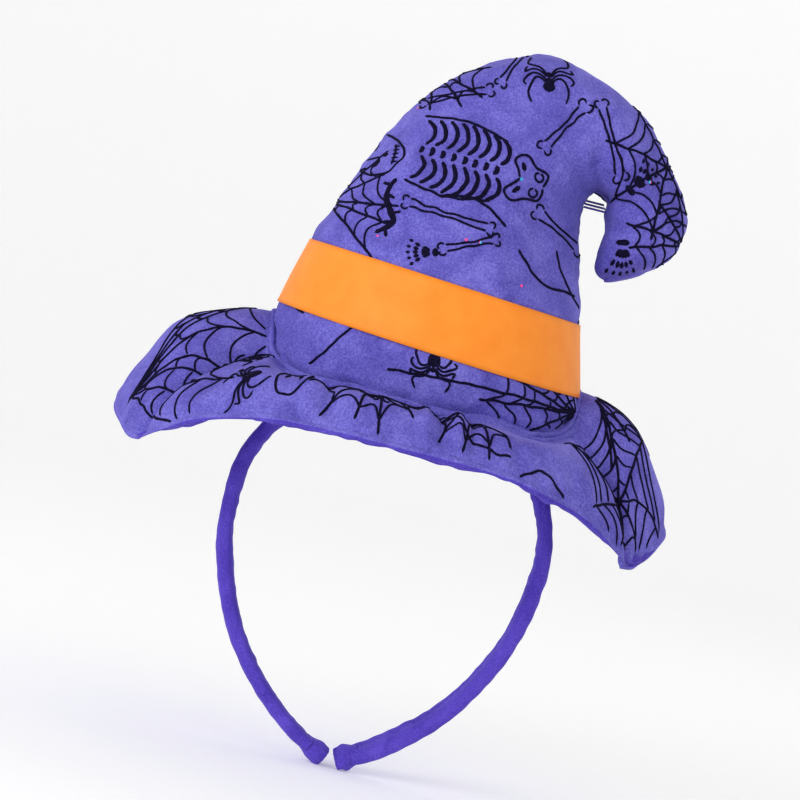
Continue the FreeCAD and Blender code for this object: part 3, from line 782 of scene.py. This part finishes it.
def skull(place, size=1.0, degrees=0.0):
    """A plain skull: a round outline drawn in at the jaw, two eye holes, a nose and a row of teeth."""
    turn = np.linspace(0, 2 * np.pi, 15)
    outline = np.column_stack([8.2 * np.cos(turn) * (1 - 0.24 * ease(-np.sin(turn), 0.2, 0.9)),
                               9.6 * np.sin(turn)])
    lines = [curve(outline), curve([[-4.6, 0.4], [-2.2, 0.9]], 4.2, 0.8),
             curve([[2.2, 0.9], [4.6, 0.4]], 4.2, 0.8), curve([[0, -3.4], [0, -1.2]], 1.9, 0.9),
             curve([[-4.2, -5.4], [0, -6.0], [4.2, -5.4]])]
    lines += [curve([[x, -7.6], [x, -4.7]], 0.7) for x in (-3, -1.5, 0, 1.5, 3)]
    return turned_by(lines, place, degrees, size)


def hip(place, degrees=0.0, size=1.0):
    """A hip bone: two wings that meet below, each with a round hole."""
    lines = []
    for side in (-1, 1):
        lines.append(curve([[0, -6.5], [side * 5.2, -6.8], [side * 6.4, -2.0], [side * 9.4, 3.6],
                            [side * 6.6, 7.4], [side * 2.2, 4.6], [0, 3.4]]))
        turn = np.linspace(0, 2 * np.pi, 7)
        lines.append(curve(np.column_stack([side * 3.3 + 1.6 * np.cos(turn), -3.6 + 1.9 * np.sin(turn)]), 0.9))
        lines.append(curve([[side * 3.2, 2.2], [side * 6.4, 4.6]], 1.8, 0.8))
    return turned_by(lines, place, degrees, size)


def fingers(place, degrees=0.0, size=1.0, count=5):
    """A hand or foot: a palm of short bones, and fingers of three joints each."""
    lines = [curve([[-1.6, -2.4], [-1.6, 2.4]], 2.4, 0.7)]
    for k in range(count):
        fan = math.radians((k - (count - 1) / 2) * 15)
        ray = np.array([math.cos(fan), math.sin(fan)])
        for start, end, wide in ((1.0, 4.6, 1.7), (5.4, 8.2, 1.5), (9.0, 11.2, 1.2)):
            lines.append(curve([ray * start, ray * end], wide, 0.5))
    return turned_by(lines, place, degrees, size)


def thorns(points, side=1):
    """A thorny stem: a thick line with short spikes to both sides."""
    stem = curve(points, 2.6, 0.4)
    lines = [stem]
    for k in range(4, len(stem) - 3, 5):
        ahead = stem[k + 1, :2] - stem[k - 1, :2]
        ahead = ahead / np.linalg.norm(ahead)
        aside = np.array([-ahead[1], ahead[0]]) * (side if (k // 5) % 2 else -side)
        lines.append(curve([stem[k, :2], stem[k, :2] + aside * 3.4 + ahead * 1.2], 1.3, 0.6))
    return lines


def grid_at(grid, row, column, wrap):
    """Values of a grid between its points, by straight lines between the four nearest."""
    rows, columns = grid.shape[:2]
    r = np.clip(row, 0, rows - 1.001)
    c = np.mod(column, columns) if wrap else np.clip(column, 0, columns - 1.001)
    r0, c0 = np.floor(r).astype(int), np.floor(c).astype(int)
    r1, c1 = r0 + 1, (c0 + 1) % columns if wrap else c0 + 1
    fr, fc = (r - r0)[:, None], (c - c0)[:, None]
    return (grid[r0, c0] * (1 - fr) * (1 - fc) + grid[r1, c0] * fr * (1 - fc) + grid[r0, c1] * (1 - fr) * fc
            + grid[r1, c1] * fr * fc)


def place_on(chart, wanted):
    """Row and column where a grid's flat coordinates are the wanted ones: the nearest grid point, then Newton
    steps with the grid's own slopes. Also how far off the answer still is, in mm."""
    rough = chart[::2, ::2].reshape(-1, 2)
    start = np.concatenate([np.argmin(((part[:, None] - rough[None]) ** 2).sum(-1), 1)
                            for part in np.array_split(wanted, max(1, len(wanted) // 400))])
    across = (chart.shape[1] + 1) // 2
    row, column = (start // across) * 2.0, (start % across) * 2.0
    for newton in range(8):
        here = grid_at(chart, row, column, False)
        down = (grid_at(chart, row + 0.5, column, False) - grid_at(chart, row - 0.5, column, False))
        over = (grid_at(chart, row, column + 0.5, False) - grid_at(chart, row, column - 0.5, False))
        gap = wanted - here
        area = down[:, 0] * over[:, 1] - down[:, 1] * over[:, 0]
        area = np.where(np.abs(area) < 1e-4, 1e-4, area)
        row = np.clip(row + np.clip((gap[:, 0] * over[:, 1] - gap[:, 1] * over[:, 0]) / area, -4, 4), 0,
                      chart.shape[0] - 1.01)
        column = np.clip(column + np.clip((down[:, 0] * gap[:, 1] - down[:, 1] * gap[:, 0]) / area, -4, 4), 0,
                         chart.shape[1] - 1.01)
    return row, column, np.linalg.norm(wanted - grid_at(chart, row, column, False), axis=1)


ARCH = np.array([[-0.5, -0.35], [-0.42, 0.6], [-0.16, 1.0], [0.16, 1.0], [0.42, 0.6], [0.5, -0.35]])
LEAST_RINGS = 3     # a shorter piece of a line is left out
LARGEST_GAP = 6     # mm between two rings; past it a line has jumped across a fold, and is left out


def flock_strips(name, lines, find):
    """Raised strips along the printed lines. `find` gives the place on the cloth, its normal and whether the
    place is on the cloth. Each ring is a low arch, its feet sunk under the pile, and a strip ends in a
    point."""
    wobble = [line + np.column_stack([0.22 * soft_noise(line[:, :2], 7, 81),
                                      0.22 * soft_noise(line[:, :2], 7, 82),
                                      0.13 * line[:, 2] * soft_noise(line[:, :2], 2.4, 83)]) for line in lines]
    every = np.concatenate(wobble)
    place, normal, good = find(every[:, :2])
    ends = np.cumsum([len(line) for line in wobble])
    verts, faces, count = [], [], 0
    for end, line in zip(ends, wobble):
        span = np.arange(end - len(line), end)
        cuts = np.flatnonzero(np.diff(np.concatenate([[0], good[span].astype(int), [0]])))
        for first, last in cuts.reshape(-1, 2):
            pick = span[first:last]
            if len(pick) < LEAST_RINGS:
                continue
            p, n, wide = place[pick], normal[pick], every[pick, 2]
            ahead = np.gradient(p, axis=0)
            jump = np.linalg.norm(ahead, axis=1)
            if jump.max() > LARGEST_GAP:
                continue
            side = np.cross(n, ahead / np.maximum(jump, 1e-6)[:, None])
            side /= np.maximum(np.linalg.norm(side, axis=1, keepdims=True), 1e-6)
            tip = np.ones(len(pick))
            tip[0] = tip[-1] = 0.0
            rings = (p[:, None] + side[:, None] * (ARCH[None, :, :1] * (wide * tip)[:, None, None])
                     + n[:, None] * (ARCH[None, :, 1:] * LINE_HIGH * tip[:, None, None]))
            index = count + np.arange(len(rings) * len(ARCH)).reshape(-1, len(ARCH))
            over = np.roll(index, -1, axis=1)
            faces.append(np.stack([index[:-1], index[1:], over[1:], over[:-1]], -1).reshape(-1, 4))
            verts.append(rings.reshape(-1, 3))
            count += index.size
    mesh = bpy.data.meshes.new(name)
    mesh.from_pydata((np.concatenate(verts) * MM).tolist(), [], np.concatenate(faces).tolist())
    merge_doubles(mesh)
    piece = link_piece(name, mesh, flock_black)
    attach(piece, "hat")


crown_normals = turned_outward(grid_normals(crown_points, True))
HALF_ROUND = CROWN_COLUMNS // 2


def on_crown_panel(back):
    """Finds places on one crown panel. Its chart is the panel laid flat: x and height, with x turned over for
    the back panel, so that both are read from outside."""
    columns = np.arange(HALF_ROUND + 1) + (0 if back else HALF_ROUND)
    part = np.take(crown_smooth, columns, axis=1, mode="wrap")[..., [0, 2]] * ([-1, 1] if back else [1, 1])

    def find(wanted):
        row, column, miss = place_on(part, wanted)
        column = column + columns[0]
        normal = grid_at(crown_normals, row, column, True)
        return (grid_at(crown_points, row, column, True),
                normal / np.linalg.norm(normal, axis=1, keepdims=True), (miss < 0.3) & (row > 1.5))
    return find


def on_brim(wanted):
    """Finds places on the brim's upper cloth from x and y as the disc lay flat under the printer. The rings
    and columns of its grid follow from the oval's own size and angle."""
    u, v = (wanted[:, 0] - BRIM_X) / BRIM_LONG, wanted[:, 1] / BRIM_DEEP
    rho = np.sqrt(u * u + v * v)
    rows, columns = brim_top_points.shape[:2]
    ring = 1 - np.clip(1 - (rho - BRIM_INNER) / (1 - BRIM_INNER), 0, 1) ** (1 / BRIM_CROWDING)
    row, column = ring * (rows - 1), np.mod(np.arctan2(v, u), 2 * np.pi) / (2 * np.pi) * columns
    normal = grid_at(brim_normals, row, column, True)
    clear = (wanted[:, 0] / FOOT_LONG) ** 2 + (wanted[:, 1] / FOOT_DEEP) ** 2 > 1.06
    return (grid_at(brim_top_points, row, column, True),
            normal / np.linalg.norm(normal, axis=1, keepdims=True),
            (rho < 0.995) & (rho > BRIM_INNER + 0.01) & clear)


brim_normals = grid_normals(brim_top_points, True)
brim_normals[-1] = brim_normals[-2]
brim_normals *= np.sign(np.sum(brim_normals[20, 100:110, 2]))

FRONT_PRINT = (
    skull((-36.5, 82.5), 1.0, 96) + ribs((-21, 86), -3, 8, 3.9, 13.5) + hip((17.5, 84), 84, 0.9)
    + bone((20, 97), (31, 116), 3.8) + bone((36, 118), (50, 95), 3.4) + fingers((55, 93), 55, 0.95)
    + bone((24, 75), (42, 67), 3.8) + fingers((57, 72), -78, 0.95)
    + bone((-25, 104), (-3, 113), 3.2) + bone((0, 116), (5, 131), 3.0) + fingers((8, 134), 40, 0.7)
    + bone((-22, 66), (9, 64), 3.2) + bone((12, 61), (-6, 53), 3.0) + fingers((-9, 51), 195, 0.8)
    + spider((16.5, 120), 0.95, 12) + thorns([(-27, 74), (-29, 66), (-25, 59), (-30, 53)])
    + web((-50, 62), 26, 6, 4, -40, 120, 1) + web((-24, 118), 20, 6, 3, -110, 150, 2)
    + web((66, 104), 26, 8, 4, 0, 360, 3) + web((80, 78), 22, 6, 4, 110, 150, 4)
    + [curve([(34, 64), (38, 56), (46, 46)]), curve([(-12, 71), (4, 72), (14, 66)]),
       curve([(20, 60), (30, 52), (44, 50)])]
    + spider((1, 14.5), 0.85, 186) + web((53, 9), 30, 9, 5, 95, 190, 5)
    + [curve([(-14, 8), (8, 9.5), (30, 10), (53, 9)]), curve([(-26, 24), (-32, 14), (-41, 3)]),
       curve([(-57, 26), (-52, 22), (-47, 20)])]
)
BACK_PRINT = (
    skull((22, 72), 1.0, -20) + ribs((4, 92), 196, 8, 3.9, 12) + hip((-34, 80), 100, 0.85)
    + bone((-30, 98), (-12, 114), 3.6) + bone((-8, 116), (10, 126), 3.2) + bone((-36, 66), (-16, 56), 3.6)
    + bone((26, 60), (4, 54), 3.2) + fingers((-1, 53), 185, 0.85)
    + spider((0, 72), 0.95, 30) + spider((-24, 20), 0.9, 160) + spider((-66, 92), 0.8, 60)
    + web((40, 96), 30, 9, 5, 130, 160, 11) + web((-58, 108), 28, 9, 5, 0, 360, 12)
    + web((-50, 52), 24, 7, 4, -60, 130, 13) + web((30, 14), 26, 9, 4, 0, 360, 14)
    + thorns([(38, 74), (36, 64), (40, 54)]) + web((-10, 12), 20, 8, 3, 0, 360, 15)
)
BRIM_PRINT = (
    web((-99, -26), 44, 8, 5, -58, 120, 21) + spider((-62, -34), 0.95, 150) + skull((-43, -62), 0.72, 165)
    + spider((-57, -58), 0.75, 100) + web((-16, -56), 24, 8, 3, 185, 170, 22) + spider((-9, -63), 0.9, 80)
    + web((18, -57), 20, 6, 3, 200, 120, 23)
    + [curve([(6, -62), (18, -72), (34, -70)]), curve([(38, -72), (46, -66), (60, -64)])]
    + web((77, -33), 25, 9, 5, 0, 360, 24) + web((60, -4), 25, 7, 3, -60, 130, 25)
    + web((-96, 18), 30, 8, 4, -70, 150, 26) + web((78, 28), 30, 11, 5, 0, 360, 27)
    + spider((58, 48), 0.95, 30) + web((10, 64), 24, 10, 4, 0, 360, 28) + skull((-26, 64), 0.85, 20)
    + bone((-52, 60), (-74, 44), 3.6) + fingers((-78, 41), 215, 0.8) + spider((-60, 30), 0.9, 250)
    + spider((38, 66), 0.8, 70)
)
flock_strips("crown_print_front", FRONT_PRINT, on_crown_panel(back=False))
flock_strips("crown_print_back", BACK_PRINT, on_crown_panel(back=True))
flock_strips("brim_print", BRIM_PRINT, on_brim)


# ==== Ribbon ================================================================================================
# Orange polyester ribbon, 25 mm wide, wrapped once round the crown, its ends lapped and sewn at the back. The
# cloth is a close plain weave with a smooth face; it is drawn coarser than its real 0.15 mm threads, so that
# it shows.
ribbon_weave, tree, out = new_material("woven_polyester_ribbon_orange")
flat = add(tree, "ShaderNodeUVMap", uv_map="cloth_mm")
threads = add(tree, "ShaderNodeTexWave", {"Vector": flat.outputs[0], "Scale": 0.9, "Distortion": 0.4,
                                          "Detail": 1.0}, bands_direction="X")
weft = add(tree, "ShaderNodeTexWave", {"Vector": flat.outputs[0], "Scale": 1.1, "Distortion": 0.4,
                                       "Detail": 1.0}, bands_direction="Y")
both = add(tree, "ShaderNodeMath", {0: threads.outputs[1], 1: weft.outputs[1]}, operation="ADD")
blotch = add(tree, "ShaderNodeTexNoise", {"Vector": flat.outputs[0], "Scale": 0.12, "Detail": 3.0})
tone = add(tree, "ShaderNodeValToRGB", {"Fac": blotch.outputs[0]})
tone.color_ramp.elements[0].position = 0.3
tone.color_ramp.elements[0].color = linear("#f98a20")
tone.color_ramp.elements[1].position = 0.7
tone.color_ramp.elements[1].color = linear("#fe942b")
relief = add(tree, "ShaderNodeBump", {"Strength": 0.12, "Distance": 0.0001, "Height": both.outputs[0]})
silk = add(tree, "ShaderNodeBsdfPrincipled", {"Base Color": tone.outputs[0], "Roughness": 0.55, "IOR": 1.5,
                                              "Specular IOR Level": 0.3, "Normal": relief.outputs[0]})
tree.links.new(silk.outputs[0], out.inputs[0])


def crown_at_rise(angle, rise):
    """Place along the crown, at each angle, where it is that far above the ribbon's middle plane, by
    halving."""
    low, high = np.zeros(angle.shape), np.full(angle.shape, 110.0)
    for halving in range(30):
        middle = (low + high) / 2
        below = over_ribbon_middle(crown_surface(middle, angle)) < rise
        low, high = np.where(below, middle, low), np.where(below, high, middle)
    return (low + high) / 2


def ribbon_strip(name, first, last, columns, stand):
    """A strip round part of the crown, `stand` mm clear of the cloth, with both edges lifted a fraction of a
    mm. Gives the piece and the ribbon's length in it."""
    angle = np.linspace(first, last, columns)
    rise = np.linspace(-RIBBON_WIDE / 2, RIBBON_WIDE / 2, 14)
    rise, angle = np.meshgrid(rise, angle, indexing="ij")
    v = crown_at_rise(angle, rise)
    lift = stand + 0.25 * (np.abs(rise) / (RIBBON_WIDE / 2)) ** 4
    points = crown_surface(v, angle, lift)
    points = points + 0.12 * soft_noise(points, 22, 71)[..., None] * (points - points.mean(0)) / 50
    middle = points[len(points) // 2]
    run = np.concatenate([[0], np.cumsum(np.linalg.norm(np.diff(middle, axis=0), axis=1))])
    flat = np.stack(np.broadcast_arrays(run[None], rise), -1)
    piece = link_piece(name, grid_mesh(name, points, flat=flat), ribbon_weave)
    thick = piece.modifiers.new("cloth_thickness", "SOLIDIFY")
    thick.thickness = 0.4 * MM
    thick.offset = 1
    return piece, run[-1]


BACK = math.pi / 2
ribbon, ribbon_run = ribbon_strip("ribbon", BACK + 0.06, BACK + 0.06 + 2 * np.pi, 261, 0.7)
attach(ribbon, "hat")
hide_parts("ribbon_band")
lap, lap_run = ribbon_strip("ribbon_lap", BACK - 0.2, BACK + 0.2, 21, 1.3)
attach(lap, "hat")
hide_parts("ribbon_end_lap")


# ==== Threads and glitter ===================================================================================
# Doubled polyester thread in the cloth's purple: three loops hold the band up under the brim, and three
# stitches hold the tip down. The glitter is punched foil, 1 mm across, in several colours; each speck keeps
# its own.
thread_purple, tree, out = new_material("twisted_polyester_thread_purple")
twist = add(tree, "ShaderNodeTexCoord")
ply_shade_and_relief = add(tree, "ShaderNodeTexWave", {"Vector": twist.outputs["Object"], "Scale": 1 / (2.2 * MM),
                                      "Distortion": 1.0}, bands_direction="DIAGONAL")
# The ply wave also colours the thread: painted shade in the grooves between the plies and painted light on
# their ridges.
tone = add(tree, "ShaderNodeValToRGB", {"Fac": ply_shade_and_relief.outputs[1]})
tone.color_ramp.elements[0].color = linear("#32257c")
tone.color_ramp.elements[1].color = linear("#5a4ab4")
relief = add(tree, "ShaderNodeBump", {"Strength": 0.4, "Distance": 0.0002, "Height": ply_shade_and_relief.outputs[1]})
thread = add(tree, "ShaderNodeBsdfPrincipled", {"Base Color": tone.outputs[0], "Roughness": 0.6, "IOR": 1.5,
                                                "Normal": relief.outputs[0]})
tree.links.new(thread.outputs[0], out.inputs[0])

glitter_foil, tree, out = new_material("aluminised_polyester_glitter")
spot = add(tree, "ShaderNodeTexCoord")
cell = add(tree, "ShaderNodeTexNoise", {"Vector": spot.outputs["Object"], "Scale": 1 / (19 * MM),
                                        "Detail": 0.0})
tint = add(tree, "ShaderNodeValToRGB", {"Fac": cell.outputs[0]})
tint.color_ramp.interpolation = "CONSTANT"
for at, colour in ((0.0, "#e8402c"), (0.40, "#20c890"), (0.50, "#28b4e0"), (0.56, "#f050a8")):
    spot_colour = tint.color_ramp.elements.new(at) if at else tint.color_ramp.elements[0]
    spot_colour.color = linear(colour)
tint.color_ramp.elements[-1].color = linear("#f050a8")
foil = add(tree, "ShaderNodeBsdfPrincipled", {"Base Color": tint.outputs[0], "Metallic": 0.6,
                                              "Roughness": 0.25})
tree.links.new(foil.outputs[0], out.inputs[0])

for node, finish in (("tip_tack_stitches", thread_purple), ("band_tack_loops", thread_purple),
                     ("glitter_specks", glitter_foil)):
    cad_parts[node].data.materials.clear()
    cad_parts[node].data.materials.append(finish)
